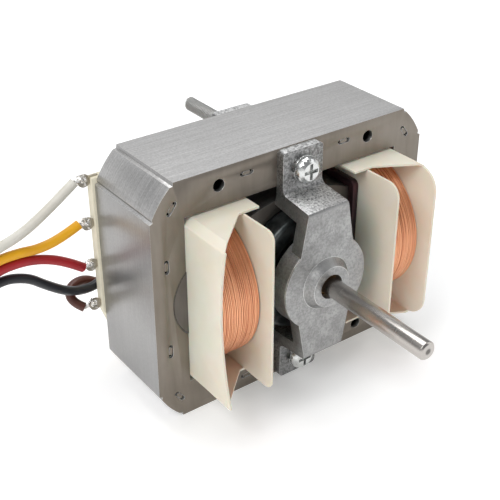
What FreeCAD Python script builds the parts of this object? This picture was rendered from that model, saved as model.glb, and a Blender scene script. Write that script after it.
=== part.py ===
import FreeCAD, Part
import math
import os

# Shaded-pole motor of a range hood fan.
# Frame: origin at the centre of the four fixing holes, on the front face of the lamination stack.
# +X runs along the long side of the stack, +Z up, and the output shaft points along -Y.

SIZES = {
    # Lamination stack
    "stack_width": 110.0,
    "stack_height": 87.4,
    "stack_depth": 33.0,
    "side_limb": 12.0,
    "top_limb": 12.9,
    "corner_across": 8.7,
    "corner_down": 11.6,
    "corner_bulge": 0.5,
    "corner_groove": 1.1,
    "fixing_pitch_x": 60.3,
    "hole_line": 0.55,
    "bolt_line": 0.434,
    "fixing_hole": 4.2,
    "clinch_length": 5.0,
    "clinch_width": 1.6,
    "clinch_depth": 0.8,
    "clinch_top_x": 19.7,
    "clinch_side_z": 15.8,
    "clinch_corner_in": 7.8,
    "clinch_corner_down": 8.5,
    # Pole core and shading rings
    "root_radius": 16.0,
    "root_share": 0.4167,
    "bore_to_window": 8.4,
    "air_gap": 0.4,
    "shoe_side": 1.9,
    "shoe_crown": 3.9,
    "shoe_corner_drop": 1.8,
    "ring_thickness": 2.2,
    "ring_bar": 2.8,
    "ring_low": -0.6,
    "ring_side": 2.4,
    # Bobbins and windings
    "wall": 0.8,
    "play": 0.1,
    "bobbin_side": 2.6,
    "flange_reach": 21.4,
    "flange_clear": 1.5,
    "left_corner": 3.2,
    "right_corner": 5.0,
    "flap_clear": 0.6,
    "flap_overhang": 5.4,
    "flap_shoulder": 2.3,
    "flap_reach": 6.3,
    "flap_lip": 1.0,
    "fold_slope": 1.42,
    "left_fold": 1.9,
    "left_flap_end": 20.9,
    "left_reach": 21.8,
    "left_lean": 0.9,
    "left_waist": 3.45,
    "right_fold": 1.0,
    "right_flap_end": 15.0,
    "right_reach": 21.4,
    "sheet_corner": 8.0,
    "rear_reach": 17.0,
    "rear_flap_end": 8.5,
    "coil_clear": 4.3,
    "coil_bulge": 15.9,
    "coil_flat": 5.9,
    "tube_wall": 1.0,
    # Bearing brackets
    "tab_thickness": 3.3,
    "tab_half_width": 8.0,
    "tab_inset": 0.3,
    "tab_corner": 1.5,
    "shelf_fillet": 2.0,
    "shelf_edge": 0.9,
    "shelf_thickness": 4.6,
    "shelf_below_bolt": 7.2,
    "shelf_fall": 1.6,
    "arm_thickness": 5.0,
    "arm_face": 16.6,
    "arm_half_top": 8.1,
    "arm_half_low": 10.8,
    "arm_low": 12.6,
    "hub_radius": 16.7,
    "hub_depth": 7.0,
    "hub_cavity_radius": 12.5,
    "hub_floor": 3.0,
    "boss_radius": 7.3,
    "boss_flare": 2.1,
    "boss_height": 3.0,
    "boss_hole": 8.6,
    "bearing_sphere": 7.0,
    "bearing_length": 9.5,
    "bearing_set_back": 5.4,
    "seat_play": 0.02,
    "retainer_thickness": 0.8,
    "felt_gap": 0.3,
    # Through bolts
    "bolt_diameter": 5.0,
    "bolt_hole": 5.3,
    "head_diameter": 9.0,
    "head_height": 3.1,
    "washer_thickness": 1.1,
    "nut_across": 8.0,
    "nut_height": 4.0,
    "stud_length": 27.0,
    "lower_bolt_end": 3.0,
    # Shaft and rotor
    "shaft_diameter": 6.35,
    "journal_diameter": 6.0,
    "shaft_front": 63.0,
    "shaft_rear": 24.0,
    "shaft_chamfer": 0.6,
    "running_gap": 0.03,
    "slots": 17,
    "slot_bridge": 1.4,
    "slot_depth": 4.8,
    "slot_width": 3.0,
    "end_ring_length": 6.6,
    "end_ring_width": 8.0,
    "end_ring_step": 0.4,
    "end_ring_round": 1.4,
    "spacer_diameter": 11.0,
    "thrust_thickness": 0.6,
    "end_play": 0.2,
    # Terminal board and leads
    "board_thickness": 3.4,
    "board_overhang": 1.0,
    "board_below_top": 9.3,
    "board_height": 58.6,
    "board_taper": 3.2,
    "board_taper_height": 9.0,
    "tongue_height": 9.0,
    "tongue_level": 12.0,
    "eye_diameter": 4.4,
    "eye_hole": 1.9,
    "eye_thickness": 0.7,
    "eye_offset": 1.9,
    "terminal_pitch": 15.5,
    "terminal_inset": 0.8,
    "lead_diameter": 3.2,
    "lead_pitch": 3.5,
    "route_unit": 1.0,
    "tail_diameter": 1.5,
    "tail_length": 2.7,
    "turn_radius": 28.0,
    "plug_pitch": 4.0,
    "plug_length": 17.0,
    "plug_height": 6.6,
    "plug_wall": 0.9,
    "plug_pocket": 2.5,
}

doc = FreeCAD.newDocument("range_hood_fan_motor")
sheet = doc.addObject("Spreadsheet::Sheet", "sizes")
for row, (alias, number) in enumerate(SIZES.items(), start=1):
    sheet.set(f"A{row}", alias)
    sheet.set(f"B{row}", str(number))
    sheet.setAlias(f"B{row}", alias)
doc.recompute()


class Size:
    """A length that carries its present value and its formula in the sheet."""

    def __init__(self, value, text=None):
        self.value = float(value)
        self.text = text or repr(float(value))

    def _with(self, other, sign, value):
        return Size(value, f"({self.text} {sign} {other.text})")

    def __add__(self, other):
        other = size(other)
        return self._with(other, "+", self.value + other.value)

    def __sub__(self, other):
        other = size(other)
        return self._with(other, "-", self.value - other.value)

    def __mul__(self, other):
        other = size(other)
        return self._with(other, "*", self.value * other.value)

    def __truediv__(self, other):
        other = size(other)
        return self._with(other, "/", self.value / other.value)

    def __radd__(self, other):
        return size(other) + self

    def __rsub__(self, other):
        return size(other) - self

    def __rmul__(self, other):
        return size(other) * self

    def __neg__(self):
        return Size(-self.value, f"(-1 * {self.text})")

    def root(self):
        return Size(math.sqrt(self.value), f"sqrt({self.text})")


def size(value):
    return value if isinstance(value, Size) else Size(value)


class Named:
    """Gives each cell of the sheet as a Size, by its alias."""

    def __getattr__(self, alias):
        return Size(sheet.get(alias), f"sizes.{alias}")


d = Named()
nodes = []


def bind(thing, prop, value):
    thing.setExpression(prop, size(value).text)


def move(thing, x=0, y=0, z=0):
    for axis, value in zip("xyz", (x, y, z)):
        bind(thing, f"Placement.Base.{axis}", value)
    return thing


def node(thing, label):
    """Registers a finished sub-part under the name that its file gets."""
    thing.Label = label
    nodes.append(thing)
    return thing


# Primitives and booleans, each with its sizes tied to the sheet

def box(x, y, z, at=(0, 0, 0)):
    thing = doc.addObject("Part::Box", "box")
    for prop, value in zip(("Length", "Width", "Height"), (x, y, z)):
        bind(thing, prop, value)
    return move(thing, *at)


def span(low, high):
    """A box from one corner to the other."""
    sides = [size(b) - a for a, b in zip(low, high)]
    return box(*sides, at=low)


def along_y(thing, at):
    """Turns a body of revolution from its own Z axis to the row's Y axis."""
    thing.Placement.Rotation = FreeCAD.Rotation(FreeCAD.Vector(1, 0, 0), -90)
    return move(thing, *at)


def rod(radius, length, at):
    thing = doc.addObject("Part::Cylinder", "rod")
    bind(thing, "Radius", radius)
    bind(thing, "Height", length)
    return along_y(thing, at)


def taper(start, end, length, at):
    thing = doc.addObject("Part::Cone", "taper")
    bind(thing, "Radius1", start)
    bind(thing, "Radius2", end)
    bind(thing, "Height", length)
    return along_y(thing, at)


def cut(base, *tools):
    thing = doc.addObject("Part::Cut", "cut")
    thing.Base = base
    thing.Tool = tools[0] if len(tools) == 1 else fuse(*tools)
    return thing


def fuse(*shapes):
    thing = doc.addObject("Part::MultiFuse", "fuse")
    thing.Shapes = list(shapes)
    return thing


def common(*shapes):
    thing = doc.addObject("Part::MultiCommon", "common")
    thing.Shapes = list(shapes)
    return thing


def group(*shapes):
    thing = doc.addObject("Part::Compound", "group")
    thing.Links = list(shapes)
    return thing


def ring(outer, inner, length, at):
    return cut(rod(outer, length, at), rod(inner, length, at))


# Sketched bodies

def body(name, x=0, y=0, z=0):
    return move(doc.addObject("PartDesign::Body", name), x, y, z)


def sketch_on(owner, plane):
    sketch = owner.newObject("Sketcher::SketchObject", f"{owner.Name}_sketch")
    planes = owner.Origin.OriginFeatures
    sketch.AttachmentSupport = (next(p for p in planes if p.Role == plane), "")
    sketch.MapMode = "FlatFace"
    return sketch


def constrain(sketch, kind, refs, value):
    import Sketcher
    at = sketch.addConstraint(Sketcher.Constraint(kind, *refs, size(value).value))
    sketch.setExpression(f"Constraints[{at}]", size(value).text)


def pin_point(sketch, edge, end, point):
    constrain(sketch, "DistanceX", (-1, 1, edge, end), point[0])
    constrain(sketch, "DistanceY", (-1, 1, edge, end), point[1])


def draw_loop(sketch, corners):
    """Draws a closed outline. A corner is (u, v), or (u, v, via, radius) when an arc leads to it."""
    import Sketcher
    first = sketch.GeometryCount
    count = len(corners)
    for here, there in zip(corners, corners[1:] + corners[:1]):
        a, b = (FreeCAD.Vector(size(p[0]).value, size(p[1]).value, 0) for p in (here, there))
        if len(there) > 2:
            via = FreeCAD.Vector(size(there[2][0]).value, size(there[2][1]).value, 0)
            edge = sketch.addGeometry(Part.Arc(a, via, b))
        else:
            edge = sketch.addGeometry(Part.LineSegment(a, b))
    starts = []
    for step in range(count):
        edge = first + step
        arc = sketch.Geometry[edge].TypeId == "Part::GeomArcOfCircle"
        turned = arc and (sketch.getPoint(edge, 1) - point_of(corners[step])).Length > 1e-6
        starts.append((edge, 2 if turned else 1, 1 if turned else 2))
    for step, (edge, start, _) in enumerate(starts):
        pin_point(sketch, edge, start, corners[step])
        last, _, end = starts[step - 1]
        sketch.addConstraint(Sketcher.Constraint("Coincident", last, end, edge, start))
        following = corners[(step + 1) % count]
        if len(following) > 2:
            hold_arc(sketch, edge, corners[step], following)


def hold_arc(sketch, edge, here, there):
    """Fixes the size of an arc between two held ends: its radius, or its centre in a half circle."""
    chord = point_of(there) - point_of(here)
    if abs(chord.Length - 2 * size(there[3]).value) > 1e-6:
        constrain(sketch, "Radius", (edge,), there[3])
    elif abs(chord.x) < abs(chord.y):
        constrain(sketch, "DistanceX", (-1, 1, edge, 3), there[0])
    else:
        constrain(sketch, "DistanceY", (-1, 1, edge, 3), there[1])


def point_of(corner):
    return FreeCAD.Vector(size(corner[0]).value, size(corner[1]).value, 0)


def draw_circle(sketch, centre, radius):
    here = FreeCAD.Vector(size(centre[0]).value, size(centre[1]).value, 0)
    edge = sketch.addGeometry(Part.Circle(here, FreeCAD.Vector(0, 0, 1), size(radius).value))
    pin_point(sketch, edge, 3, centre)
    constrain(sketch, "Radius", (edge,), radius)


def pad(owner, sketch, length, reverse=False):
    feature = owner.newObject("PartDesign::Pad", f"{owner.Name}_pad")
    feature.Profile = sketch
    bind(feature, "Length", length)
    feature.Reversed = reverse
    sketch.Visibility = False
    owner.Tip = feature
    return feature


def plate(name, plane, loops, length, at=(0, 0, 0), circles=(), reverse=False):
    """A prism whose outline, inner loops and round holes are all drawn in one sketch."""
    owner = body(name, *at)
    sketch = sketch_on(owner, plane)
    for corners in loops:
        draw_loop(sketch, corners)
    for centre, radius in circles:
        draw_circle(sketch, centre, radius)
    pad(owner, sketch, length, reverse)
    return owner


def swap(corner):
    """Turns a (y, radius) corner, and the point its arc passes, into (radius, y)."""
    if len(corner) == 2:
        return (corner[1], corner[0])
    return (corner[1], corner[0], (corner[2][1], corner[2][0]), corner[3])


def turned(name, profile, at=(0, 0, 0)):
    """A body of revolution about Y, from an outline given as (y, radius) corners."""
    owner = body(name, *at)
    sketch = sketch_on(owner, "XY_Plane")
    draw_loop(sketch, [swap(corner) for corner in profile])
    feature = owner.newObject("PartDesign::Revolution", f"{name}_turn")
    feature.Profile = sketch
    axes = owner.Origin.OriginFeatures
    feature.ReferenceAxis = (next(a for a in axes if a.Role == "Y_Axis"), [""])
    feature.Angle = 360
    owner.Tip = feature
    return owner


# Lengths that several pieces share

mid = d.stack_depth / 2
half_width = d.stack_width / 2
half_height = d.stack_height / 2
window_x = half_width - d.side_limb
window_z = half_height - d.top_limb
root_tip = window_x + d.side_limb * d.root_share
root_centre = root_tip - d.root_radius
root_half = window_x - root_centre
root_z = (d.root_radius * d.root_radius - root_half * root_half).root()
bore = window_z - d.bore_to_window
rotor_radius = bore - d.air_gap
flange_outer = window_x - d.play
bobbin_inner = bore + d.bobbin_side
bolt_level = window_z + d.top_limb * d.bolt_line
fixing_level = window_z + d.top_limb * d.hole_line
bolt_points = [(size(0), bolt_level), (size(0), -bolt_level)]
fixing_points = [(sx * d.fixing_pitch_x / 2, sz * fixing_level) for sx in (-1, 1) for sz in (-1, 1)]


def arc_radius(half_chord, rise):
    return (half_chord * half_chord + rise * rise) / (2 * rise)


def eased(before, corner, after, reach):
    """Replaces a sharp corner by a tangent arc that starts and ends at that reach from it."""
    arms = []
    for other in (before, after):
        du, dv = size(other[0]) - corner[0], size(other[1]) - corner[1]
        long = (du * du + dv * dv).root()
        arms.append((du / long, dv / long))
    (au, av), (bu, bv) = arms
    cosine = au * bu + av * bv
    radius = reach * ((1 - cosine) / (1 + cosine)).root()
    inward = (reach * reach + radius * radius).root() - radius
    both = (2 + 2 * cosine).root()
    via = (corner[0] + inward * (au + bu) / both, corner[1] + inward * (av + bv) / both)
    start = (corner[0] + au * reach, corner[1] + av * reach)
    return [start, (corner[0] + bu * reach, corner[1] + bv * reach, via, radius)]


def quarter(u, v, r, upright_first):
    """Rounds the corner (u, v) of an upright rectangle about the middle of the sketch."""
    su, sv = (-1 if u.value > 0 else 1), (-1 if v.value > 0 else 1)
    k = r * (1 - math.sqrt(0.5))
    via = (u + su * k, v + sv * k)
    ends = [(u, v + sv * r), (u + su * r, v)]
    if not upright_first:
        ends.reverse()
    return [ends[0], (*ends[1], via, r)]


def rounded_box(half_u, half_v, r):
    return [
        *quarter(half_u, -half_v, r, False),
        *quarter(half_u, half_v, r, True),
        *quarter(-half_u, half_v, r, False),
        *quarter(-half_u, -half_v, r, True),
    ]


def mirror(corner, su, sv):
    """A corner with the signs of its two coordinates changed, and those of its arc with them."""
    there = (su * size(corner[0]), sv * size(corner[1]))
    if len(corner) == 2:
        return there
    return (*there, (su * size(corner[2][0]), sv * size(corner[2][1])), corner[3])


def backwards(path):
    """The same open path walked the other way; each arc is then told at its other end."""
    steps = zip(path[-2::-1], path[:0:-1])
    return [path[-1][:2]] + [(*here[:2], *there[2:]) for here, there in steps]


# Outer yoke: a ring of laminations with bevelled corners and a socket in each side for the pole core

def corner_outline(sx, sz):
    """One bevelled corner from its side end to its top end, with a small groove at both ends."""
    side_x, side_z = half_width, half_height - d.corner_down
    top_x, top_z = half_width - d.corner_across, half_height
    g = d.corner_groove
    low = (side_x - g, side_z + 0.4 * g)
    low_out = (side_x - 0.75 * g, side_z + 1.3 * g)
    high_out = (top_x + 1.15 * g, top_z - 1.25 * g)
    high = (top_x + 0.2 * g, top_z - 1.15 * g)
    chord_x, chord_z = low_out[0] - high_out[0], high_out[1] - low_out[1]
    chord = (chord_x * chord_x + chord_z * chord_z).root()
    via_x = (low_out[0] + high_out[0]) / 2 + d.corner_bulge * chord_z / chord
    via_z = (low_out[1] + high_out[1]) / 2 + d.corner_bulge * chord_x / chord
    bulge = ((sx * via_x, sz * via_z), arc_radius(chord / 2, d.corner_bulge))
    points = [(side_x, side_z), low, low_out, high_out, high, (top_x, top_z)]
    signed = [(sx * x, sz * z) for x, z in points]
    if sx * sz > 0:
        signed[3] = (*signed[3], *bulge)
        return signed
    signed.reverse()
    signed[3] = (*signed[3], *bulge)
    return signed


def yoke_outline():
    return [
        *corner_outline(1, 1),
        *corner_outline(-1, 1),
        *corner_outline(-1, -1),
        *corner_outline(1, -1),
    ]


def yoke_window():
    return [
        (window_x, -root_z),
        (window_x, root_z, (root_tip, size(0)), d.root_radius),
        (window_x, window_z),
        (-window_x, window_z),
        (-window_x, root_z),
        (-window_x, -root_z, (-root_tip, size(0)), d.root_radius),
        (-window_x, -window_z),
        (window_x, -window_z),
    ]


def clinch_slot(x, z, turn):
    """One oblong interlock mark, through both end laminations."""
    half = (d.clinch_length - d.clinch_width) / 2
    r = d.clinch_width / 2
    loop = [
        (-half, -r),
        (half, -r),
        (half, r, (half + r, size(0)), r),
        (-half, r),
    ]
    loop[0] = (-half, -r, (-half - r, size(0)), r)
    marks = []
    for y in (size(0), d.stack_depth - d.clinch_depth):
        mark = plate("clinch", "XZ_Plane", [loop], d.clinch_depth, reverse=True)
        mark.Placement.Rotation = FreeCAD.Rotation(FreeCAD.Vector(0, 1, 0), turn)
        marks.append(move(mark, x, y, z))
    return marks


def make_yoke():
    holes = [(point, d.fixing_hole / 2) for point in fixing_points]
    holes += [(point, d.bolt_hole / 2) for point in bolt_points]
    stack = plate(
        "yoke", "XZ_Plane", [yoke_outline(), yoke_window()], d.stack_depth,
        circles=holes, reverse=True,
    )
    marks = []
    slope = math.degrees(math.atan2(d.corner_down.value, d.corner_across.value))
    for sx in (-1, 1):
        for sz in (-1, 1):
            top_z = window_z + d.top_limb * 0.636
            side_x = window_x + d.side_limb * 0.567
            corner_x = half_width - d.clinch_corner_in
            corner_z = half_height - d.clinch_corner_down
            marks += clinch_slot(sx * d.clinch_top_x, sz * top_z, 0)
            marks += clinch_slot(sx * side_x, sz * d.clinch_side_z, 90)
            marks += clinch_slot(sx * corner_x, sz * corner_z, sx * sz * slope)
    node(cut(stack, *marks), "yoke_stack")


# Pole core: two poles joined round the rotor bore, pushed into the yoke by its round roots

shoe_half = bore + d.shoe_side
shoe_top = bore + d.shoe_crown
shoe_corner = bore - d.shoe_corner_drop
shoe = arc_radius(shoe_half, shoe_top - shoe_corner)
ring_outside = bore + d.ring_side


def shoe_height(x):
    """Height of the curved back of the pole shoe at a distance x from the centre plane."""
    return (shoe * shoe - x * x).root() - shoe + shoe_top


def make_pole_core():
    outline = [
        (window_x, -root_z),
        (window_x, root_z, (root_tip, size(0)), d.root_radius),
        (shoe_half, root_z),
        (shoe_half, shoe_corner),
        (-shoe_half, shoe_corner, (size(0), shoe_top), shoe),
        (-shoe_half, root_z),
        (-window_x, root_z),
        (-window_x, -root_z, (-root_tip, size(0)), d.root_radius),
        (-shoe_half, -root_z),
        (-shoe_half, -shoe_corner),
        (shoe_half, -shoe_corner, (size(0), -shoe_top), shoe),
        (shoe_half, -root_z),
    ]
    core = plate(
        "core", "XZ_Plane", [outline], d.stack_depth,
        circles=[((size(0), size(0)), bore)], reverse=True,
    )
    low, high = d.ring_low, d.ring_low + d.ring_bar
    inside = bore / 2
    right = span((inside, -1, low), (ring_outside, d.stack_depth + 1, high))
    left = span((-ring_outside, -1, -high), (-inside, d.stack_depth + 1, -low))
    node(cut(core, right, left), "pole_core")


def make_shading_ring(label, sx):
    """A heavy copper loop round the shaded part of one pole shoe."""
    bar, r = d.ring_bar, 2.0
    low, high = d.ring_low, shoe_height(ring_outside - d.ring_thickness) + 0.02 + d.ring_bar
    front, back = -d.ring_bar, d.stack_depth + d.ring_bar
    k = r * (1 - math.sqrt(0.5))
    outer = [
        (front + r, low), (back - r, low), (back, low + r, (back - k, low + k), r),
        (back, high - r), (back - r, high, (back - k, high - k), r),
        (front + r, high), (front, high - r, (front + k, high - k), r),
        (front, low + r),
    ]
    outer[0] = (front + r, low, (front + k, low + k), r)
    inner = [
        (size(0), low + bar), (d.stack_depth, low + bar),
        (d.stack_depth, high - bar), (size(0), high - bar),
    ]
    loops = [outer, inner]
    if sx < 0:
        loops = [[mirror(corner, 1, -1) for corner in loop] for loop in loops]
    start = ring_outside - d.ring_thickness if sx > 0 else -ring_outside
    node(plate(label, "YZ_Plane", loops, d.ring_thickness, at=(start, 0, 0)), label)


# Bobbins: winding tube, inner flange, and an outer flange whose top and bottom fold over the coil

def folded_flaps(sx, fold, flap_end):
    """Both flaps of the outer flange, folded in over the coil and cut slanting at their ends."""
    t = d.wall
    out_x, fold_x = flange_outer, flange_outer - fold * d.fold_slope
    top = window_z - d.flap_clear
    fold_z = top - fold
    ends = bobbin_inner - d.flap_overhang
    inner_x, lip = out_x - t, fold_z - d.flap_lip
    section = [
        (ends, top), (fold_x, top), (out_x, fold_z), (out_x, lip), (inner_x, lip),
        (inner_x, fold_z - 0.4 * t), (fold_x - 0.4 * t, top - t), (ends, top - t),
    ]
    section = [(sx * x, z) for x, z in section]
    depth = 2 * (mid + flap_end) + 6
    flaps = plate(
        "flaps", "XZ_Plane", [section, [mirror(corner, 1, -1) for corner in section]],
        depth, at=(0, mid - depth / 2, 0), reverse=True,
    )
    tip, shoulder = mid + d.flap_reach, bobbin_inner + d.flap_shoulder
    outer, rear = mid + flap_end, mid + d.rear_flap_end
    plan = [(ends, -tip), (shoulder, -tip), (out_x, -outer), (out_x, rear), (shoulder, tip), (ends, tip)]
    plan = [(sx * x, y) for x, y in plan]
    trim = plate("trim", "XY_Plane", [plan], d.stack_height, at=(0, mid, -half_height))
    return common(flaps, trim)


def sheet_front(high, r):
    """Front edge of the right outer flange: straight, between rounded corners."""
    reach = mid + d.right_reach
    return quarter(-reach, high, r, False) + quarter(-reach, -high, r, True)


def bowed_front(high):
    """Front edge of the left outer flange, which bows in between its flaring ends."""
    upper, lower = mid + d.left_reach - d.left_lean, mid + d.left_reach + d.left_lean
    waist = mid + d.left_reach - d.left_waist
    half_chord = (high * high + d.left_lean * d.left_lean).root()
    return [(-upper, high), (-lower, -high, (-waist, size(0)), arc_radius(half_chord, d.left_waist))]


def outer_sheet(sx, fold):
    """Side view of an outer flange; its rear edge is the same on both bobbins."""
    high, r = window_z - d.flap_clear - fold, d.sheet_corner
    rear = mid + d.rear_reach
    front = sheet_front(high, r) if sx > 0 else bowed_front(high)
    return front + quarter(rear, -high, r, False) + quarter(rear, high, r, True)


def make_bobbin(label, sx, slots=()):
    t = d.wall
    tube_y, tube_z = mid + d.play, root_z + d.play
    low, high = bobbin_inner, flange_outer
    left = low if sx > 0 else -high
    if sx > 0:
        fold, flap_end, corner = d.right_fold, d.right_flap_end, d.right_corner
    else:
        fold, flap_end, corner = d.left_fold, d.left_flap_end, d.left_corner
    outer_start = high - t if sx > 0 else -high
    outer = plate("outer_flange", "YZ_Plane", [outer_sheet(sx, fold)], t, at=(outer_start, mid, 0))
    inner_start = low if sx > 0 else -low - t
    inner = plate(
        "inner_flange", "YZ_Plane",
        [rounded_box(mid + d.flange_reach, window_z - d.flange_clear, corner)],
        t, at=(inner_start, mid, 0),
    )
    w = d.tube_wall
    tube = box(high - low, 2 * (tube_y + w), 2 * (tube_z + w), at=(left, mid - tube_y - w, -tube_z - w))
    hole = box(high - low, 2 * tube_y, 2 * tube_z, at=(left, mid - tube_y, -tube_z))
    whole = fuse(folded_flaps(sx, fold, flap_end), outer, inner, tube)
    node(cut(whole, hole, *slots), label)


def make_coil(label, sx):
    """A random-wound coil between the two flanges of its bobbin."""
    gap = d.play
    low, high = bobbin_inner + d.wall + gap, flange_outer - d.wall - gap
    c, end, top = d.coil_flat, mid + d.coil_bulge, window_z - d.coil_clear
    r = arc_radius(top, end - c)
    outer = [(-c, -top, (-end, size(0)), r), (c, -top), (c, top, (end, size(0)), r), (-c, top)]
    y, z = mid + d.play + d.tube_wall + gap, root_z + d.play + d.tube_wall + gap
    inner = [(-y, -z), (y, -z), (y, z), (-y, z)]
    start = low if sx > 0 else -high
    node(plate(label, "YZ_Plane", [outer, inner], high - low, at=(start, mid, 0)), label)


# Bearing brackets: a die-cast strap that steps forward from two tabs to a round bearing hub

shelf_back = bolt_level - d.shelf_below_bolt
shelf_front = shelf_back - d.shelf_fall
tab_reach = half_height - d.tab_inset


def bracket_outline():
    """Front view of the casting: tabs, shelves and tapering arms that run into the round hub."""
    w, top, arm_w = d.tab_half_width, shelf_front, d.arm_half_top
    low_w, low = d.arm_half_low, d.arm_low
    r = (low_w * low_w + low * low).root()
    right = [(low_w, low), (arm_w, top), (w, shelf_back)]
    right += quarter(w, tab_reach, d.tab_corner, True)
    left = [mirror(corner, -1, 1) for corner in backwards(right)]
    under = [mirror(corner, -1, -1) for corner in right]
    last = [mirror(corner, -1, -1) for corner in left]
    under[0] = (*under[0], (-r, size(0)), r)
    right[0] = (*right[0], (r, size(0)), r)
    return right + left + under + last


def bracket_side():
    """Side view: tab against the stack, sloping shelf and the arm in front, upper and lower."""
    face = -d.arm_face
    arm_back = face + d.arm_thickness
    drop = d.shelf_thickness
    tab_top, root = (-d.tab_thickness, tab_reach), (-d.tab_thickness, shelf_back)
    edge = (face, shelf_front)
    upper_edge = [
        (arm_back, size(0)),
        (arm_back, shelf_front - drop),
        (size(0), shelf_back - drop),
        (size(0), tab_reach),
        tab_top,
        *eased(tab_top, root, edge, d.shelf_fillet),
        *eased(root, edge, (face, size(0)), d.shelf_edge),
    ]
    return upper_edge + [mirror(corner, 1, -1) for corner in backwards(upper_edge[1:])]


def seat_radius(depth):
    """Radius of the conical bearing seat, which stays just clear of the bearing's sphere."""
    reach = (d.bearing_sphere + d.seat_play) * 2 / math.sqrt(3)
    return reach - (d.bearing_set_back - depth) / math.sqrt(3)


def make_bracket(label, rear):
    side = bracket_side()
    front = bracket_outline()
    width = 2 * d.hub_radius + 2
    strap = common(
        plate("side", "YZ_Plane", [side], width, at=(-width / 2, 0, 0)),
        plate("front", "XZ_Plane", [front], d.arm_face + 1, at=(0, -d.arm_face - 1, 0), reverse=True),
    )
    face, back = -d.arm_face, -d.arm_face + d.hub_depth
    nose = face - d.boss_height
    floor = face + d.hub_floor
    hub = turned("hub", [
        (nose, size(0)), (nose, d.boss_radius), (face, d.boss_radius + d.boss_flare),
        (face, d.hub_radius - 0.5), (face + 0.5, d.hub_radius), (back, d.hub_radius + 0.3), (back, size(0)),
    ])
    hollow = turned("hollow", [
        (nose - 1, size(0)), (nose - 1, d.boss_hole / 2 + 0.6), (nose + 0.3, d.boss_hole / 2),
        (face + 0.2, d.boss_hole / 2), (face + 0.2, seat_radius(size(0.2))),
        (floor, seat_radius(d.hub_floor)), (floor, d.hub_cavity_radius),
        (back + 1, d.hub_cavity_radius), (back + 1, size(0)),
    ])
    depth = d.arm_face + 2
    holes = [rod(d.bolt_hole / 2, depth, (0, -depth + 1, z)) for _, z in bolt_points]
    casting = cut(fuse(strap, hub), hollow, *holes)
    if rear:
        casting.Placement.Rotation = FreeCAD.Rotation(FreeCAD.Vector(0, 0, 1), 180)
        move(casting, 0, d.stack_depth, 0)
    node(casting, label)


def make_bearing_set(side, sy):
    """Self-aligning sleeve bearing with its oil felt and the plate that holds both in the hub."""
    def at(front, length):
        """The lower Y end of a piece that lies that far in front of the stack, mirrored at the rear."""
        return -front if sy < 0 else d.stack_depth + front - length

    r, half = d.bearing_sphere, d.bearing_length / 2
    bore_r = d.journal_diameter / 2 + d.running_gap
    centre = d.arm_face - d.bearing_set_back
    middle = -centre if sy < 0 else d.stack_depth + centre
    edge = (r * r - half * half).root()
    sleeve = turned(f"{side}_sleeve", [
        (-half, bore_r), (half, bore_r), (half, edge), (-half, edge, (size(0), r), r),
    ], at=(0, middle, 0))
    node(sleeve, f"{side}_bearing")
    depth = d.arm_face - d.hub_depth
    thick = d.retainer_thickness
    plate_y = at(depth + thick, thick)
    hold = (r * r - (centre - depth - thick) * (centre - depth - thick)).root() + d.seat_play
    node(ring(d.hub_cavity_radius, hold, thick, (0, plate_y, 0)), f"{side}_bearing_retainer")
    felt = d.hub_depth - d.hub_floor - thick
    felt_y = at(depth + thick + felt, felt)
    node(ring(d.hub_cavity_radius - d.felt_gap, r + d.play, felt, (0, felt_y, 0)), f"{side}_oil_felt")


# Through bolts with spring washers and nuts; the upper one runs on behind as a mounting stud

def make_bolt(label, z, end):
    start = -d.tab_thickness - d.washer_thickness
    r, head = d.bolt_diameter / 2, d.head_diameter / 2
    tall = d.head_height
    tip = 1.6
    shank = turned(f"{label}_turning", [
        (start, size(0)), (start - tall, size(0)), (start - tall, head - 1.4),
        (start - tall * 0.72, head - 0.4), (start - tall * 0.4, head), (start, head), (start, r),
        (end - tip, r), (end - tip * 0.35, r - 0.9), (end, size(0.6)), (end, size(0)),
    ][1:], at=(0, 0, z))
    deep, wide, across = 1.8, 1.1, 5.4
    top = start - tall
    arms = [
        box(across, deep, wide, at=(-across / 2, top, z - wide / 2)),
        box(wide, deep, across, at=(-wide / 2, top, z - across / 2)),
    ]
    for arm in arms:
        arm.Label = "recess"
    node(cut(shank, *arms), label)


def make_bolts():
    rear_face = d.stack_depth + d.tab_thickness
    make_bolt("upper_through_bolt", bolt_level, rear_face + d.stud_length)
    make_bolt("lower_through_bolt", -bolt_level, rear_face + d.nut_height + d.lower_bolt_end)
    outer, inner = d.head_diameter / 2 + 0.1, d.bolt_hole / 2
    y = -d.tab_thickness - d.washer_thickness
    washers = []
    for _, z in bolt_points:
        gap = box(1, d.washer_thickness, outer, at=(-outer, y, z))
        washers.append(cut(ring(outer, inner, d.washer_thickness, (0, y, z)), gap))
    node(group(*washers), "spring_washers")
    nuts = []
    for _, z in bolt_points:
        hexagon = doc.addObject("Part::Prism", "hexagon")
        hexagon.Polygon = 6
        bind(hexagon, "Circumradius", d.nut_across / math.sqrt(3))
        bind(hexagon, "Height", d.nut_height)
        along_y(hexagon, (0, rear_face, z))
        nuts.append(cut(hexagon, rod(d.bolt_diameter / 2, d.nut_height, (0, rear_face, z))))
    node(group(*nuts), "rear_nuts")


# Rotor: laminated core, cast cage of bars and end rings, shaft, spacers and thrust washers

def make_shaft():
    """Ground spindle: the free end is a hair thicker than the journals that run in the bearings."""
    r, journal, c = d.shaft_diameter / 2, d.journal_diameter / 2, d.shaft_chamfer
    front, rear = -d.shaft_front, d.stack_depth + d.shaft_rear
    step = -d.arm_face - d.boss_height - 1
    node(turned("spindle", [
        (front, size(0)), (front, r - c), (front + c, r), (step, r), (step, journal),
        (rear - c, journal), (rear, journal - c), (rear, size(0)),
    ]), "shaft")


def bar_outline():
    w = d.slot_width / 2
    high = rotor_radius - d.slot_bridge
    low = high - d.slot_depth
    return [(-0.75 * w, low), (0.75 * w, low), (w, high), (-w, high)]


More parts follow.
